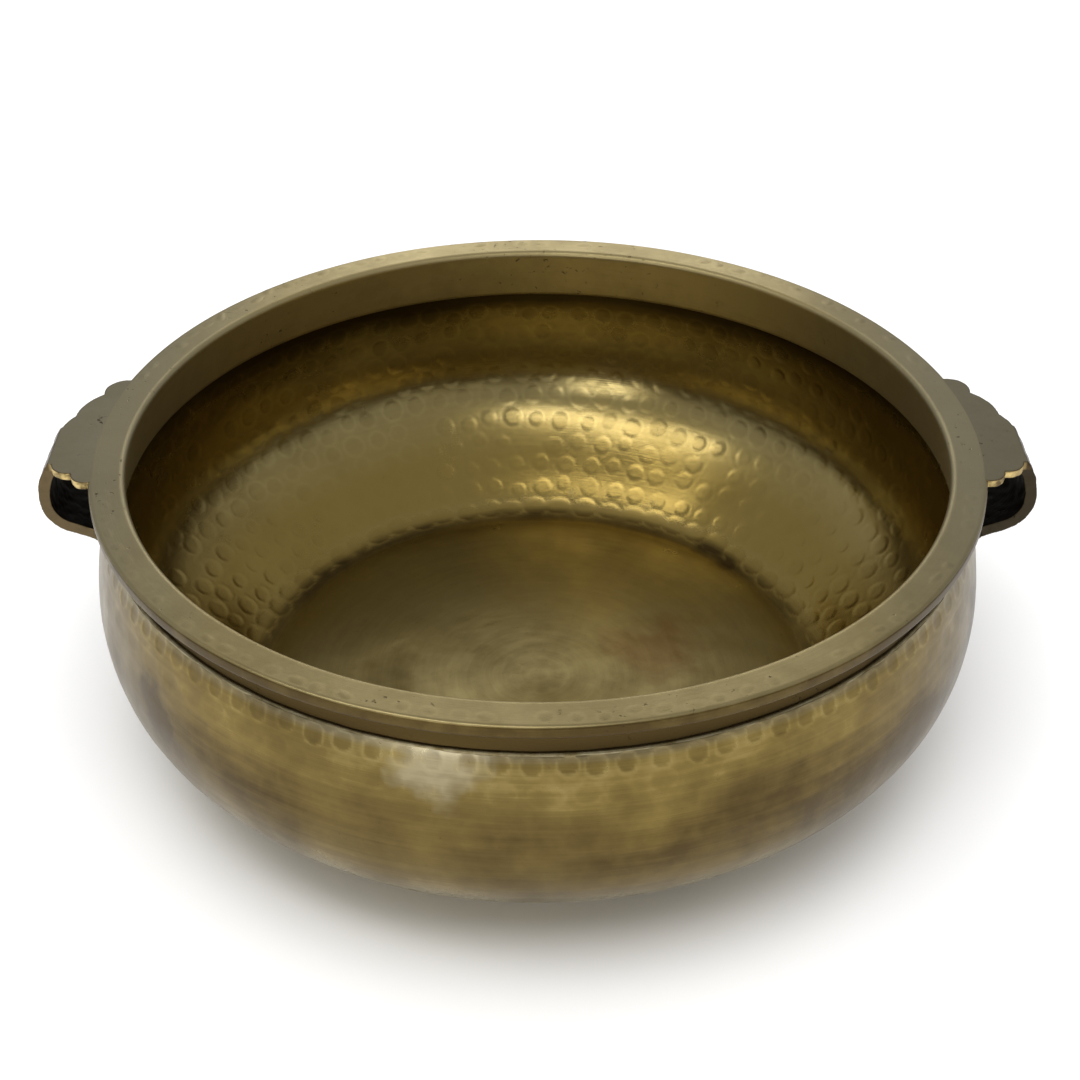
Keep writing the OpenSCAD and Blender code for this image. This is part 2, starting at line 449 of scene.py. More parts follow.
def vessel_tarnish_and_shade(vessel, names):
    """How tarnished each point is, from 0 for bright metal to 1 for brown, with painted shade
    added near the top of the inside wall.
    """
    zone = names[vessel.ring]
    r, z = vessel.line[vessel.ring].T
    floor = zone == "floor"
    inside = (zone == "wall") | floor
    outside = (zone == "shoulder") | (zone == "belly")
    darkness = np.full(len(z), 0.6)
    darkness[inside] = inside_tarnish_and_shade(vessel, r, z)[inside]
    darkness[floor] += 0.06 + 0.05 * np.sin(r[floor] / 16 + 1.2)
    darkness[outside] = outside_age(vessel, z)[outside]
    darkness[zone == "base"] = 0.85
    return darkness


def build_vessel():
    """The hammered vessel: a closed surface with its marks pressed into both faces."""
    line, counts, names = vessel_rings()
    vessel = Turned(line, counts)
    vessel.normal[names[vessel.ring] == "floor"] = (0, 1)
    vessel.normal[names[vessel.ring] == "base"] = (0, -1)
    hammer_inside(vessel, names)
    hammer_floor(vessel)
    hammer_outside(vessel, names)
    vessel.waver(0.16, 9, 0.05)
    vessel.waver(0.06, 30, 0.2)
    vessel.swell *= np.clip((vessel.line[vessel.ring, 0] - 20) / 100, 0, 1)
    fitted = np.isin(names[vessel.ring], ["lap", "mouth", "base"])
    for field in (vessel.hollow, vessel.raised, vessel.swell):
        field[fitted] = 0
    zone = names[vessel.ring]
    return mesh_object("urli_vessel", vessel.points(), vessel.faces(), {
        "hollow": np.clip(vessel.hollow / 0.12, 0, 1),
        "worn": vessel.worn(),
        "darkness": vessel_tarnish_and_shade(vessel, names),
        "meridian": vessel.s[vessel.ring],
        "inside": np.isin(zone, ["floor", "wall"]).astype(float),
    })


# ---------------------------------------------------------------- collar

def collar_line():
    """Closed outline of the collar, from the inner rounding over the top and back."""
    flat_ends = np.array([[RIM_IN_R + INNER_ROUND, TOP_Z], [RIM_R - OUTER_ROUND, TOP_Z]])
    top = respaced(flat_ends, 0.75)
    edge = respaced(np.array([[RIM_R, TOP_Z - OUTER_ROUND], [RIM_R, LIP_Z + OUTER_ROUND]]), 1)
    under = respaced(np.array([[RIM_R - OUTER_ROUND, LIP_Z], [NECK_R + COVE_R, LIP_Z]]), 1)
    lap = respaced(np.array([[NECK_FOOT_R, MOUTH_Z], [LAP_R, BAND_Z]]), 3)
    band_in_r = RIM_IN_R + BAND_FLARE
    shelf = respaced(np.array([[LAP_R, BAND_Z], [band_in_r + 0.5, BAND_Z]]), 1.6)
    lower_edge = arc(band_in_r + 0.5, BAND_Z + 0.5, 0.5, 270, 170, 3)
    band = respaced(np.array([[band_in_r - 0.1, BAND_Z + 0.7],
                              [RIM_IN_R, TOP_Z - INNER_ROUND]]), 1.4)
    return np.vstack([
        arc(RIM_IN_R + INNER_ROUND, TOP_Z - INNER_ROUND, INNER_ROUND, 180, 90, 7)[:-1],
        top[:-1],
        arc(RIM_R - OUTER_ROUND, TOP_Z - OUTER_ROUND, OUTER_ROUND, 90, 0, 4)[:-1],
        edge[:-1],
        arc(RIM_R - OUTER_ROUND, LIP_Z + OUTER_ROUND, OUTER_ROUND, 0, -90, 4)[:-1],
        under[:-1],
        arc(NECK_R + COVE_R, WAIST_Z, COVE_R, 90, 180, 5)[:-1],
        arc(NECK_R + NECK_HOLLOW_R, WAIST_Z, NECK_HOLLOW_R, 180, 180 + NECK_TURN, 7)[:-1],
        lap[:-1],
        shelf[:-1],
        lower_edge,
        band[:-1],
    ])


def near_a_plate(angle):
    """True where an angle round the rim is beside a handle's plate."""
    middle = math.radians(PLATE_MID)
    off = min(abs(math.remainder(angle - middle, TURN)),
              abs(math.remainder(angle + middle - math.pi, TURN)))
    return off < PLATE_HALF


def dent_collar(collar):
    """Small dents round the flat top, except beside the plates, and specks inside the band."""
    line = collar.line
    on_top = np.flatnonzero(line[:, 1] > TOP_Z - 0.01)[::-1]
    dent_s = float(np.interp(RIM_DENT_R, line[on_top, 0], collar.s[on_top]))
    for k in range(RIM_DENTS):
        angle = (k + 0.5 + rng.normal(0, 0.07)) / RIM_DENTS * TURN
        if near_a_plate(angle) or rng.uniform() < RIM_DENTS_MISSED:
            continue
        collar.press(dent_s + rng.normal(0, 0.8), angle, rng.uniform(2.4, 4.6),
                     rng.uniform(1.8, 3.2), rng.uniform(0.03, 0.16), 0.02,
                     turn=rng.normal(0, 0.3))
    band = (line[:, 1] < TOP_Z - INNER_ROUND) & (line[:, 0] < RIM_IN_R + BAND_FLARE)
    band_s = collar.s[band]
    for _ in range(BAND_DENTS):
        size = rng.uniform(0.8, 2.0)
        collar.press(rng.uniform(band_s.min(), band_s.max()), rng.uniform(0, TURN),
                     size * 1.6, size, rng.uniform(0.03, 0.1))


def collar_tarnish_and_shade(r, z):
    """How tarnished the collar is, with painted shade in the groove under the lip and partly on
    the lip's outer face, and which of its points face the inside of the bowl.
    """
    in_rounding = r < RIM_IN_R + INNER_ROUND - 0.5
    in_band = (z < LIP_Z) & (r < RIM_IN_R + BAND_FLARE + 0.3)
    inner = in_rounding | in_band
    edge = (r > RIM_R - OUTER_ROUND) & (z < TOP_Z - OUTER_ROUND * 0.6)
    groove = (r < RIM_R - OUTER_ROUND) & (z < LIP_Z + 0.3) & ~inner
    darkness = np.where(z > TOP_Z - 0.3, 0.3, 0.4)
    # The lip's outer face is darker, partly tarnish and partly painted shade; the groove under
    # the lip is darkened to brown as painted shade.
    darkness[edge] = 1.0
    darkness[groove] = 1.25
    darkness[inner] = 0.12 + 0.2 * np.clip((TOP_Z - 4 - z[inner]) / (TOP_Z - BAND_Z), 0, 1) ** 1.5
    return darkness, inner


def build_collar():
    """The turned collar: a ring with a closed section."""
    line = collar_line()[::-1]
    collar = Turned(line, np.full(len(line), WALL_COUNT), closed=True)
    dent_collar(collar)
    collar.waver(0.05, 12, 0.15)
    fitted = (line[:, 1] < MOUTH_Z + 0.1) & (line[:, 0] > RIM_IN_R + BAND_FLARE - 0.5)
    for field in (collar.hollow, collar.raised, collar.swell):
        field[fitted[collar.ring]] = 0
    plates = np.array([near_a_plate(a) for a in collar.angle])
    for field in (collar.raised, collar.swell):
        field[plates] *= 0.1
    darkness, inner = collar_tarnish_and_shade(*line[collar.ring].T)
    return mesh_object("urli_collar", collar.points(), collar.faces(), {
        "hollow": np.clip(collar.hollow / 0.2, 0, 1),
        "worn": collar.worn(),
        "darkness": darkness,
        "meridian": collar.s[collar.ring],
        "inside": inner.astype(float),
    })


# ---------------------------------------------------------------- handles

def plate_outline():
    """Outline of the scalloped plate: the farthest scallop on every bearing from its middle."""
    middle = np.array([RIM_R - 12, 4])
    outer = []
    for turn in np.radians(np.linspace(-100, 100, 601)):
        ray = np.array([math.cos(turn), math.sin(turn)])
        reach = 0
        for x, y, radius in SCALLOPS:
            to_centre = np.array([x, y]) - middle
            ahead = to_centre @ ray
            square = radius ** 2 - (to_centre @ to_centre - ahead ** 2)
            if square > 0:
                reach = max(reach, ahead + math.sqrt(square))
        outer.append(middle + ray * reach)
    outer = np.array([point for point in outer if np.linalg.norm(point) >= PLATE_IN_R])
    ends = [math.degrees(math.atan2(point[1], point[0])) for point in outer[[-1, 0]]]
    return np.vstack([outer, arc(0, 0, PLATE_IN_R, *ends, 48)[1:-1]])


def tail_end(depth):
    """End of the loop's straight tail, inside the vessel's wall, at a depth from its face."""
    turn = math.radians(BEND_TURN)
    end = np.array([LOOP_X - BEND_R, LOOP_Z]) + (BEND_R - depth) * np.array(
        [math.cos(turn), -math.sin(turn)])
    length = (end[0] - RIM_R + 1.5) / math.sin(turn)
    return end - length * np.array([math.sin(turn), math.cos(turn)])


def strap_section():
    """Section of the loop, outwards and up: down its side, round the bend and back inside."""
    top = TOP_Z - FLUSH_DROP
    under = TOP_Z - PLATE_T
    side_in = SIDE_R - STRAP_T
    outer_turn = math.degrees(math.asin((top - LOOP_Z) / SIDE_R))
    inner_turn = math.degrees(math.asin((under - LOOP_Z) / side_in))
    return np.vstack([
        [[RIM_R - 0.5, top]],
        arc(LOOP_X - SIDE_R, LOOP_Z, SIDE_R, outer_turn, 0, 20),
        arc(LOOP_X - BEND_R, LOOP_Z, BEND_R, 0, -BEND_TURN, 30)[1:],
        [tail_end(0), tail_end(STRAP_T)],
        arc(LOOP_X - BEND_R, LOOP_Z, BEND_R - STRAP_T, -BEND_TURN, 0, 30),
        arc(LOOP_X - SIDE_R, LOOP_Z, side_in, 0, inner_turn, 20)[1:],
        [[RIM_R - 0.5, under]],
    ])


def prism(outline, low, high, place):
    """Points and faces of an outline swept between two levels, placed by a function."""
    n = len(outline)
    points = np.array([place(a, b, level) for level in (low, high) for a, b in outline])
    j = np.arange(n)
    k = (j + 1) % n
    sides = [list(side) for side in np.column_stack([j, k, k + n, j + n])]
    return points, [list(range(n))[::-1], list(range(n, 2 * n))] + sides


def handle_blank():
    """The plate and the loop as one rough mesh of two overlapping solids."""
    outline = plate_outline()
    plate, plate_faces = prism(outline, TOP_Z - PLATE_T, TOP_Z - FLUSH_DROP,
                               lambda a, b, level: (a, b, level))
    strap, strap_faces = prism(strap_section(), STRAP_W / 2 - STRAP_SHIFT,
                               -STRAP_W / 2 - STRAP_SHIFT, lambda a, b, level: (a, level, b))
    mesh = bpy.data.meshes.new("handle_blank")
    faces = plate_faces + [[i + len(plate) for i in face] for face in strap_faces]
    mesh.from_pydata((np.vstack([plate, strap]) * MM).tolist(), [], faces)
    mesh.validate()
    return mesh


def evaluated(piece, name):
    """A new mesh with a piece's modifiers applied."""
    depsgraph = bpy.context.evaluated_depsgraph_get()
    mesh = bpy.data.meshes.new_from_object(piece.evaluated_get(depsgraph))
    mesh.name = name
    return mesh


def lumps(points, size, amount):
    """Soft uneven casting skin: the sum of a few seeded waves."""
    terms = 14
    total = np.zeros(len(points))
    for _ in range(terms):
        direction = rng.normal(size=3)
        direction /= np.linalg.norm(direction) * size * rng.uniform(0.5, 1.6)
        total += np.sin(points @ direction * TURN + rng.uniform(0, TURN))
    return total * amount / math.sqrt(terms)


def fused_handle(name):
    """The blank with its two solids fused into one and its edges softened."""
    rough = bpy.data.objects.new(name + "_rough", handle_blank())
    bpy.context.scene.collection.objects.link(rough)
    remesh = rough.modifiers.new("Fuse", "REMESH")
    remesh.mode = "VOXEL"
    remesh.voxel_size = VOXEL * MM
    soften = rough.modifiers.new("Soften", "SMOOTH")
    soften.factor = 0.5
    soften.iterations = 5
    mesh = evaluated(rough, name)
    bpy.data.objects.remove(rough)
    return mesh


def read_vectors(mesh, key):
    """One vector of each vertex, as rows."""
    values = np.empty(len(mesh.vertices) * 3)
    mesh.vertices.foreach_get(key, values)
    return values.reshape(-1, 3)


def handle_masks(co, normal):
    """Where a handle is polished, filed, inside the loop, or at the strap's cut ends."""
    under = TOP_Z - PLATE_T
    on_plate = np.clip((co[:, 2] - under + 0.6) / 0.8, 0, 1)
    flat_top = (np.clip((normal[:, 2] - 0.86) / 0.1, 0, 1)
                * np.clip((co[:, 2] - TOP_Z + 0.9) / 0.4, 0, 1))
    sides = on_plate * np.clip((0.75 - np.abs(normal[:, 2])) / 0.3, 0, 1)
    sides *= np.clip((LOOP_X - 7 - co[:, 0]) / 3, 0, 1)
    from_side = np.hypot(co[:, 0] - LOOP_X + SIDE_R, co[:, 2] - LOOP_Z) < SIDE_R - STRAP_T + 1
    from_bend = np.hypot(co[:, 0] - LOOP_X + BEND_R, co[:, 2] - LOOP_Z) < BEND_R - STRAP_T + 1
    hollow = np.where(co[:, 2] > LOOP_Z, from_side, from_bend | (normal[:, 2] > 0.3))
    hollow = hollow * np.clip((under + 0.4 - co[:, 2]) / 0.5, 0, 1) * (np.abs(normal[:, 1]) < 0.7)
    ends = np.clip((np.abs(normal[:, 1]) - 0.6) / 0.25, 0, 1) * (1 - on_plate)
    return {"polished": flat_top, "filed": sides, "cavity": hollow, "ends": ends}


def build_handle(name, side):
    """One cast handle, on the right for side 1 and mirrored to the left for side -1."""
    mesh = fused_handle(name)
    co = read_vectors(mesh, "co") / MM
    normal = read_vectors(mesh, "normal")
    masks = handle_masks(co, normal)
    skin = lumps(co, 9, 0.16) + lumps(co, 3.5, 0.06)
    skin *= (1 - masks["polished"]) * np.where(co[:, 2] > TOP_Z - 1.2, 0.3, 1.0)
    co += normal * skin[:, None]
    co[:, 2] = np.minimum(co[:, 2], TOP_Z - FLUSH_DROP)
    co[:, 0] *= side
    mesh.vertices.foreach_set("co", (co * MM).ravel())
    if side < 0:
        mesh.flip_normals()
    for key, value in masks.items():
        mesh.attributes.new(key, "FLOAT", "POINT").data.foreach_set("value", value)
    mesh.update()
    mesh.shade_smooth()
    piece = bpy.data.objects.new(name, mesh)
    bpy.context.scene.collection.objects.link(piece)
    return piece


# ---------------------------------------------------------------- seams

def bead(name, radius, height, size, spread=None, uneven=0.25, squash=1.0):
    """An uneven bead of brazing brass round the bowl: all the way round, or over a spread
    of angles given as its middle and half its width in degrees."""
    sides = 12
    full = spread is None
    half, middle = (math.pi, 0) if full else (math.radians(spread[1]), math.radians(spread[0]))
    steps = int(2 * half * radius / (size * 0.35))
    t = np.linspace(-half, half, steps, endpoint=not full)
    swell = np.ones(steps)
    sway = np.zeros(steps)
    for _ in range(12):
        m = rng.integers(6, 90) if full else rng.uniform(10, 160)
        swell += uneven / 3.5 * np.sin(m * t + rng.uniform(0, TURN))
        sway += uneven * size / 6 * np.sin(m * t + rng.uniform(0, TURN))
    if not full:
        swell *= np.sqrt(np.clip(1 - (t / half) ** 8, 0.02, 1))
    a = np.linspace(0, TURN, sides, endpoint=False)
    rr = radius + sway[:, None] * 0.5 + size * swell[:, None] * np.cos(a)
    zz = height + sway[:, None] * 0.3 + size * squash * swell[:, None] * np.sin(a)
    turn = (middle + t)[:, None]
    points = np.stack([rr * np.cos(turn), rr * np.sin(turn), zz], axis=-1).reshape(-1, 3)
    i = np.arange(steps if full else steps - 1)[:, None]
    j = np.arange(sides)[None, :]
    k = (i + 1) % steps
    quads = np.stack([i * sides + j, i * sides + (j + 1) % sides,
                      k * sides + (j + 1) % sides, k * sides + j], axis=-1)
    faces = [quads.reshape(-1, 4)]
    if not full:
        caps = np.vstack([np.arange(sides)[::-1], (steps - 1) * sides + np.arange(sides)])
        faces.append(caps)
    return mesh_object(name, points, faces, crease=80)


# ---------------------------------------------------------------- materials

class Shader:
    """A metal's node tree, with short calls for the nodes that the brasses share."""

    def __init__(self, name):
        self.material = bpy.data.materials.new(name)
        self.material.use_nodes = True
        self.tree = self.material.node_tree
        self.surface = self.tree.nodes["Principled BSDF"]
        self.surface.inputs["Metallic"].default_value = 1
        self.place = self.tree.nodes.new("ShaderNodeTexCoord").outputs["Object"]

    def node(self, kind, inputs, **settings):
        made = self.tree.nodes.new("ShaderNode" + kind)
        for key, value in settings.items():
            setattr(made, key, value)
        for key, value in inputs.items():
            self.feed(made.inputs[key], value)
        return made

    def feed(self, socket, value):
        if isinstance(value, bpy.types.NodeSocket):
            self.tree.links.new(value, socket)
        else:
            socket.default_value = value

    def attribute(self, name):
        return self.node("Attribute", {}, attribute_name=name).outputs["Fac"]

    def maths(self, operation, a, b=0.0):
        return self.node("Math", {0: a, 1: b}, operation=operation).outputs[0]

    def noise(self, scale, detail=3.0, rough=0.55, vector=None):
        return self.node("TexNoise", {"Vector": vector or self.place, "Scale": scale,
                                      "Detail": detail, "Roughness": rough}).outputs[0]

    def spread(self, value, low, high, to_low=0.0, to_high=1.0):
        """A value's range from low to high mapped to another range, and held at its ends."""
        inputs = {0: value, 1: low, 2: high, 3: to_low, 4: to_high}
        return self.node("MapRange", inputs).outputs[0]

    def vary(self, value, pattern, amount):
        """A value moved up and down by a noise pattern."""
        return self.maths("ADD", value, self.spread(pattern, 0.3, 0.7, -amount, amount))

    def blend(self, a, b, factor):
        made = self.node("Mix", {0: factor, 6: a, 7: b}, data_type="RGBA")
        return made.outputs[2]

    def axis(self, which):
        return self.node("SeparateXYZ", {0: self.place}).outputs[which]

    def axis_distance(self):
        """Distance from the bowl's axis."""
        x, y = self.axis(0), self.axis(1)
        return self.maths("SQRT", self.maths("ADD", self.maths("MULTIPLY", x, x),
                                             self.maths("MULTIPLY", y, y)))

    def off_axis(self, near, far):
        """0 close to the bowl's axis, rising to 1 farther out."""
        return self.spread(self.axis_distance(), near, far)

    def streaks(self, around, along_line):
        """A vector that stretches a pattern round the bowl's axis."""
        radius = self.maths("MAXIMUM", self.axis_distance(), 0.06)
        line = self.maths("MULTIPLY", self.attribute("meridian"), along_line)
        return self.node("CombineXYZ", {
            0: self.maths("MULTIPLY", self.maths("DIVIDE", self.axis(0), radius), around),
            1: self.maths("MULTIPLY", self.maths("DIVIDE", self.axis(1), radius), around),
            2: line}).outputs[0]

    def stain(self, centre, radius, amount):
        """A soft ragged patch round a point of the bowl, given in millimetres."""
        away = self.node("VectorMath", {0: self.place, 1: tuple(c * MM for c in centre)},
                         operation="DISTANCE").outputs["Value"]
        ragged = self.maths("ADD", away, self.spread(self.noise(40, 3), 0.3, 0.7, -0.012, 0.012))
        return self.spread(ragged, radius * MM, radius * 0.35 * MM, 0, amount)

    def bump(self, height, distance, under=None):
        """A normal bent by a height map, over an earlier one where it is given."""
        inputs = {"Height": height, "Distance": distance, "Strength": 1.0}
        if under is not None:
            inputs["Normal"] = under
        return self.node("Bump", inputs).outputs[0]

    def finish(self, colour, roughness, normal):
        self.feed(self.surface.inputs["Base Color"], colour)
        self.feed(self.surface.inputs["Roughness"], roughness)
        self.feed(self.surface.inputs["Normal"], normal)
        return self.material


def rgb(r, g, b):
    return (r, g, b, 1.0)


BRIGHT = rgb(0.49, 0.40, 0.195)
GOLD = rgb(0.49, 0.40, 0.165)
HONEY = rgb(0.36, 0.255, 0.070)
OLD = rgb(0.172, 0.124, 0.040)
BROWN = rgb(0.062, 0.040, 0.014)
SHADE = rgb(0.030, 0.023, 0.012)
RUST = rgb(0.30, 0.13, 0.045)
GREY = rgb(0.345, 0.310, 0.212)
HANDLE_SHADE = rgb(0.018, 0.016, 0.012)
CAST_DARK = rgb(0.050, 0.034, 0.018)
CAST_LIGHT = rgb(0.11, 0.078, 0.040)
CAST_END = rgb(0.14, 0.105, 0.055)
FILED = rgb(0.62, 0.47, 0.20)
PLATE_WARM = rgb(0.30, 0.265, 0.175)
PLATE_DARK = rgb(0.20, 0.172, 0.105)
BRAZE_LIGHT = rgb(0.33, 0.29, 0.18)
BRAZE_DARK = rgb(0.17, 0.13, 0.06)

# Older patches of the vessel: the place and radius in millimetres, and how much older
# they look. Then the place of a rust patch, and of a pale painted highlight on the front
# shoulder.
STAINS = [((60, 20, 2), 34, 0.12), ((-75, -5, 2), 26, 0.25),
          ((-160, -128, 92), 16, 0.3), ((95, 110, 6), 20, 0.25)]
RUST_PLACE = (62, 22, 2)
SHOULDER_HIGHLIGHT_PLACE = (-36, -198, 119)


def hammered_tarnish_and_shade(m, blotches, turning):
    """Tarnish of the vessel, with the painted shade inside under the band: the attribute, broken
    up by clouds, rings, marks and stains.
    """
    darkness = m.vary(m.attribute("darkness"), m.noise(9, 5, 0.6), 0.16)
    darkness = m.vary(darkness, blotches, 0.12)
    darkness = m.vary(darkness, m.noise(1.0, 3, 0.6, m.streaks(3.0, 0.30)), 0.06)
    darkness = m.vary(darkness, turning, 0.035)
    in_marks = m.spread(m.attribute("inside"), 0, 1, 0.07, 0.06)
    darkness = m.maths("ADD", darkness, m.maths("MULTIPLY", m.attribute("hollow"), in_marks))
    darkness = m.maths("SUBTRACT", darkness, m.maths("MULTIPLY", m.attribute("worn"), 0.2))
    for centre, radius, amount in STAINS:
        darkness = m.maths("ADD", darkness, m.stain(centre, radius, amount))
    return darkness


def hammered_colour(m, darkness, off_floor):
    """Gold to brown by tarnish, with honey and rust patches, a grey band by the seam, a pale
    painted highlight on the front shoulder and painted shade at the top inside.
    """
    inside = m.attribute("inside")
    clean = m.blend(BRIGHT, GOLD, m.spread(off_floor, 0, 1, 0.5, 0.65))
    colour = m.blend(clean, OLD, m.spread(darkness, 0.05, 0.85))
    low_wall = m.maths("MULTIPLY", inside, m.spread(m.axis(2), 0.05, 0.025, 0, 0.9))
    colour = m.blend(colour, HONEY, m.maths("MULTIPLY", low_wall, off_floor))
    colour = m.blend(colour, RUST, m.stain(RUST_PLACE, 30, 0.35))
    # Painted highlight: a pale grey patch on the front shoulder, left of the middle.
    colour = m.blend(colour, GREY, m.stain(SHOULDER_HIGHLIGHT_PLACE, 19, 0.55))
    by_seam = m.spread(m.axis(2), 0.1215, 0.1250, 0, 0.6)
    colour = m.blend(colour, GREY, m.maths("MULTIPLY", by_seam, m.off_axis(0.19, 0.20)))
    colour = m.blend(colour, HONEY, m.spread(m.noise(6.5, 3, 0.5), 0.48, 0.70, 0, 0.35))
    colour = m.blend(colour, BROWN, m.spread(darkness, 0.78, 1.25, 0, 0.9))
    colour = m.blend(colour, BROWN, m.spread(m.noise(420, 3, 0.6), 0.66, 0.78, 0, 0.4))
    in_shade = m.maths("MULTIPLY", inside, m.spread(m.axis(2), 0.095, 0.115, 0, 0.7))
    return m.blend(colour, SHADE, in_shade)


def hammered_brass():
    """Aged olive gold, with fine lines round the axis everywhere but on the floor."""
    m = Shader("hammered_brass_look")
    blotches = m.noise(34, 4, 0.6)
    turning = m.noise(1.0, 2, 0.75, m.streaks(1.2, 2.8))
    off_floor = m.off_axis(0.12, 0.155)
    darkness = hammered_tarnish_and_shade(m, blotches, turning)
    rough = m.vary(m.spread(darkness, 0.2, 1.0, 0.21, 0.34), blotches, 0.04)
    rough = m.maths("ADD", rough, m.spread(off_floor, 0, 1, 0.13, 0))
    normal = m.bump(m.noise(700, 2, 0.5), 0.00002)
    normal = m.bump(m.noise(160, 2, 0.5), 0.00004, under=normal)
    lines = m.maths("MULTIPLY", turning, m.maths("MULTIPLY", off_floor, 0.6))
    normal = m.bump(lines, 0.00005, under=normal)
    return m.finish(hammered_colour(m, darkness, off_floor), rough, normal)


def turned_brass():
    """Satin turned metal, greyer beside the handles, darker on the right side as painted shade,
    with a few casting pores.
    """
    m = Shader("turned_brass_look")
    turning = m.noise(1.0, 3, 0.7, m.streaks(2.0, 1.6))
    pores = m.spread(m.noise(330, 2, 0.5), 0.66, 0.72)
    pits = m.maths("MULTIPLY", pores, m.spread(m.noise(24, 2, 0.5), 0.52, 0.64))
    darkness = m.vary(m.attribute("darkness"), m.noise(11, 5, 0.6), 0.14)
    darkness = m.vary(darkness, m.noise(60, 4, 0.65), 0.10)
    darkness = m.vary(darkness, turning, 0.04)
    darkness = m.maths("ADD", darkness, m.maths("MULTIPLY", m.attribute("hollow"), 0.10))
    darkness = m.maths("SUBTRACT", darkness, m.maths("MULTIPLY", m.attribute("worn"), 0.15))
    # Painted shade: the right side of the rim is darkened.
    darkness = m.maths("ADD", darkness, m.spread(m.axis(0), 0.12, 0.19, 0, 0.08))
    colour = m.blend(BRIGHT, OLD, m.spread(darkness, 0.1, 0.9))
    beside_plates = m.spread(m.maths("ABSOLUTE", m.axis(0)), 0.13, 0.195)
    colour = m.blend(colour, GREY, m.maths("MULTIPLY", beside_plates, 0.65))
    colour = m.blend(colour, BROWN, m.spread(darkness, 0.7, 1.05, 0, 0.9))
    colour = m.blend(colour, BROWN, m.maths("MULTIPLY", pits, 0.7))
    rough = m.spread(darkness, 0.1, 0.9, 0.32, 0.44)
    rough = m.maths("ADD", rough, m.maths("MULTIPLY", m.attribute("inside"), 0.14))
    normal = m.bump(m.noise(600, 3, 0.6), 0.00004)
    normal = m.bump(turning, 0.00003, under=normal)
    normal = m.bump(m.maths("MULTIPLY", pits, -1.0), 0.0002, under=normal)
    return m.finish(colour, rough, normal)


def cast_brass():
    """A dark cast skin, with a filed edge and a polished top, and painted shade inside the loop,
    on the right handle's strap ends and on its plate top.
    """
    m = Shader("cast_brass_look")
    clouds = m.noise(24, 4, 0.6)
    grain = m.noise(300, 4, 0.65)
    polished = m.attribute("polished")
    pits = m.maths("MULTIPLY", m.spread(m.noise(260, 2), 0.63, 0.70),
                   m.spread(m.noise(40, 2), 0.5, 0.6))
    skin = m.blend(CAST_DARK, CAST_LIGHT, m.spread(clouds, 0.4, 0.66))
    skin = m.blend(skin, CAST_END, m.maths("MULTIPLY", m.attribute("ends"), 0.6))
    # Painted shade: the right handle's strap ends and the inside of each loop are darkened to
    # near black.
    right_end_shade = m.spread(m.axis(0), -0.1, 0.1, 0, 0.75)
    skin = m.blend(skin, HANDLE_SHADE, m.maths("MULTIPLY", right_end_shade, m.attribute("ends")))
    skin = m.blend(skin, HANDLE_SHADE, m.attribute("cavity"))
    edge = m.blend(FILED, BROWN, m.spread(m.noise(130, 3), 0.44, 0.62, 0, 0.9))
    top = m.blend(GREY, PLATE_WARM, m.spread(clouds, 0.35, 0.65))
    # Painted shade: the plate top of the right handle is darker.
    top = m.blend(top, PLATE_DARK, m.spread(m.axis(0), -0.1, 0.1, 0, 0.45))
    colour = m.blend(skin, edge, m.attribute("filed"))
    colour = m.blend(colour, top, polished)
    colour = m.blend(colour, BROWN, m.maths("MULTIPLY", pits, polished))
    rough = m.vary(m.spread(polished, 0.0, 1.0, 0.38, 0.46), grain, 0.06)
    rough = m.maths("ADD", rough, m.maths("MULTIPLY", m.attribute("cavity"), 0.35))
    normal = m.bump(grain, 0.00007)
    normal = m.bump(m.maths("MULTIPLY", pits, -1.0), 0.00025, under=normal)
    return m.finish(colour, rough, normal)


def braze_brass():
    """Dull brazing brass, mottled."""
    m = Shader("braze_look")
    darkness = m.noise(90, 4, 0.65)
    colour = m.blend(BRAZE_LIGHT, BRAZE_DARK, m.spread(darkness, 0.36, 0.62))
    rough = m.spread(darkness, 0.3, 0.7, 0.36, 0.5)
    normal = m.bump(m.noise(380, 4, 0.65), 0.00008)
    return m.finish(colour, rough, normal)


# ---------------------------------------------------------------- studio

def place_camera():
    """Camera at the viewing angle of a table-top shot, looking down into the bowl."""
    camera = bpy.data.cameras.new("camera")
    camera.lens = 62.57
    camera.sensor_width = 36
    holder = bpy.data.objects.new("camera", camera)
    holder.location = (-0.002, -0.7385, 0.6084)
    holder.rotation_euler = (math.radians(90 - 35.27), 0, math.radians(-0.23))
    bpy.context.scene.collection.objects.link(holder)
    bpy.context.scene.camera = holder


def pale_floor():
    """A wide pale floor, level with the bowl's base."""
    half = 3.0
    mesh = bpy.data.meshes.new("floor")
    corners = [(-half, -half, 0), (half, -half, 0), (half, half, 0), (-half, half, 0)]
    mesh.from_pydata(corners, [], [(0, 1, 2, 3)])
    floor = bpy.data.objects.new("floor", mesh)
    bpy.context.scene.collection.objects.link(floor)
    material = bpy.data.materials.new("floor_paper")
    material.use_nodes = True
    surface = material.node_tree.nodes["Principled BSDF"]
    surface.inputs["Base Color"].default_value = rgb(0.86, 0.86, 0.86)
    surface.inputs["Roughness"].default_value = 0.9
    mesh.materials.append(material)


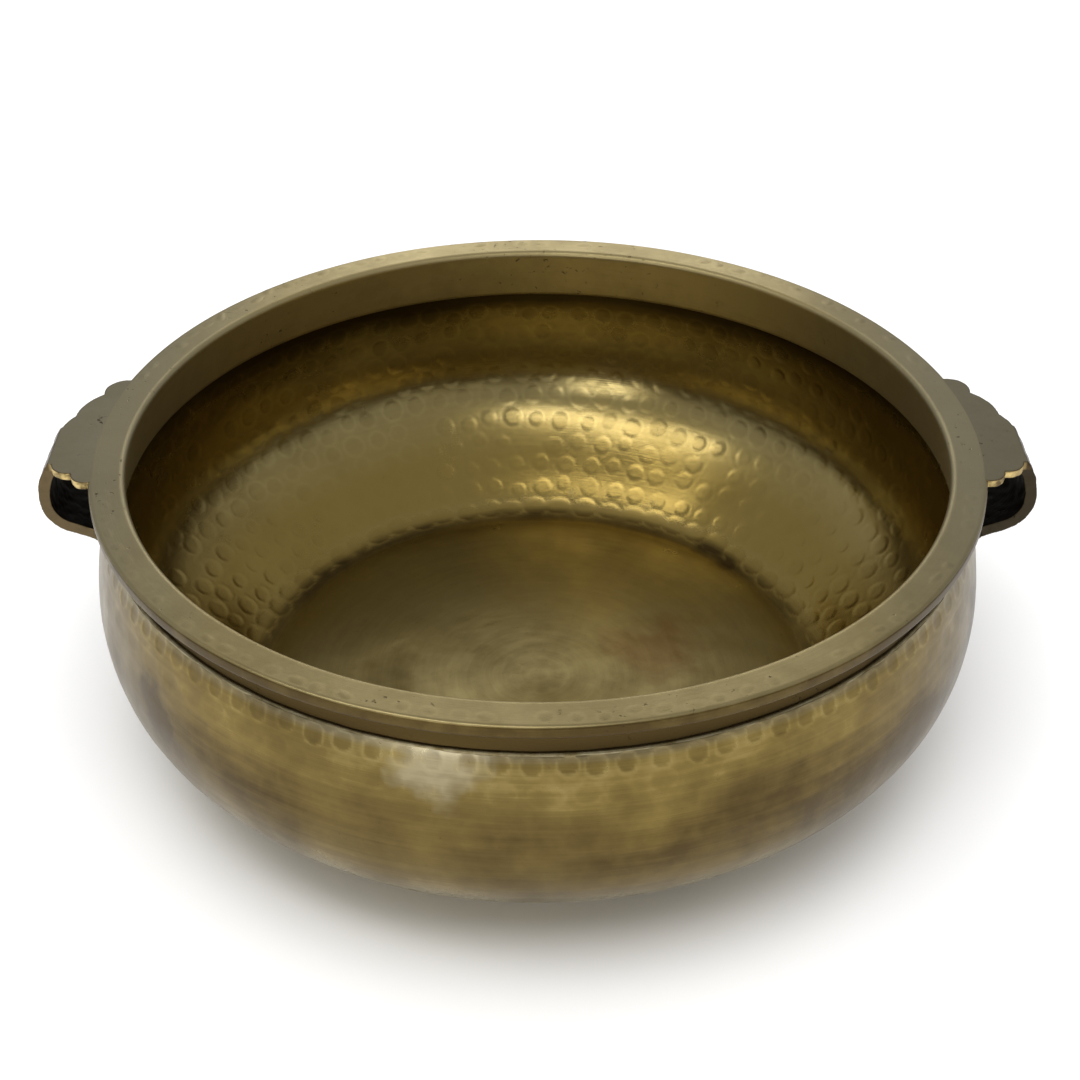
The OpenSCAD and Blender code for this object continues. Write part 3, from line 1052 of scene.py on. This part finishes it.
def softbox(name, azimuth, elevation, distance, size, radiance, target=(0, 0, 0.1)):
    """A plain rectangular light, by its direction from the bowl in degrees (0 is the
    camera's side) and by how bright its face is."""
    light = bpy.data.lights.new(name, "AREA")
    light.shape = "RECTANGLE"
    light.size, light.size_y = size
    light.energy = radiance * math.pi * size[0] * size[1]
    holder = bpy.data.objects.new(name, light)
    a, e = math.radians(azimuth), math.radians(elevation)
    away = Vector((math.sin(a) * math.cos(e), -math.cos(a) * math.cos(e), math.sin(e)))
    holder.location = Vector(target) + away * distance
    holder.rotation_euler = away.to_track_quat("Z", "Y").to_euler()
    bpy.context.scene.collection.objects.link(holder)
    return holder


def light_studio():
    """A dim white room with a low and a high panel on the left and two at the back, and a
    wash from above that the metal doesn't reflect."""
    world = bpy.data.worlds.new("studio")
    world.use_nodes = True
    background = world.node_tree.nodes["Background"]
    background.inputs["Color"].default_value = rgb(1, 1, 1)
    background.inputs["Strength"].default_value = 0.40
    bpy.context.scene.world = world
    softbox("low_panel", -20, 12, 1.5, (0.42, 0.62), 3.6)
    softbox("high_panel", -33, 62, 1.7, (1.5, 0.42), 3.0)
    softbox("back_low", 180, 22, 2.0, (0.7, 0.45), 1.9)
    softbox("back_high", 180, 42, 2.0, (0.8, 0.7), 0.5)
    wash = softbox("floor_wash", 0, 88, 2.4, (3.0, 3.0), 3.0, (0, -0.3, 0))
    wash.visible_glossy = False
    bpy.context.scene.view_settings.view_transform = "Standard"


# ---------------------------------------------------------------- assembly

def dress(piece, material, slot_name, *nodes):
    """Gives a piece its material, ties it to the root body, and hides the frame's nodes that it
    stands in for.
    """
    piece.data.materials.clear()
    piece.data.materials.append(material)
    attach(piece, "root")
    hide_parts(*nodes)


def build_seams(brazing):
    """The bead round the mouth, and the beads under each plate and each foot."""
    mouth = bead("mouth_bead", NECK_FOOT_R + 0.1, MOUTH_Z - 0.1, 1.35, uneven=0.06, squash=0.8)
    dress(mouth, brazing, "braze", "mouth_seam")
    for label, middle, mirror in (("right", 0, 1), ("left", 180, -1)):
        plate = bead("plate_bead_" + label, RIM_R + 0.2, TOP_Z - PLATE_T - 0.7, 1.5,
                     (middle + mirror * PLATE_MID, 11.4))
        dress(plate, brazing, "braze", "rim_braze_" + label)
        foot = bead("foot_bead_" + label, RIM_R + 1.9, FOOT_Z - 1.2, 1.9,
                    (middle + mirror * math.degrees(FOOT_MID), 3.9))
        dress(foot, brazing, "braze", "foot_braze_" + label)


place_camera()
pale_floor()
light_studio()

dress(build_vessel(), hammered_brass(), "hammered_brass", "bowl_body")
dress(build_collar(), turned_brass(), "turned_brass", "rim_collar")
casting = cast_brass()
dress(build_handle("cast_handle_right", 1), casting, "cast_brass", "handle_right")
dress(build_handle("cast_handle_left", -1), casting, "cast_brass", "handle_left")
build_seams(braze_brass())
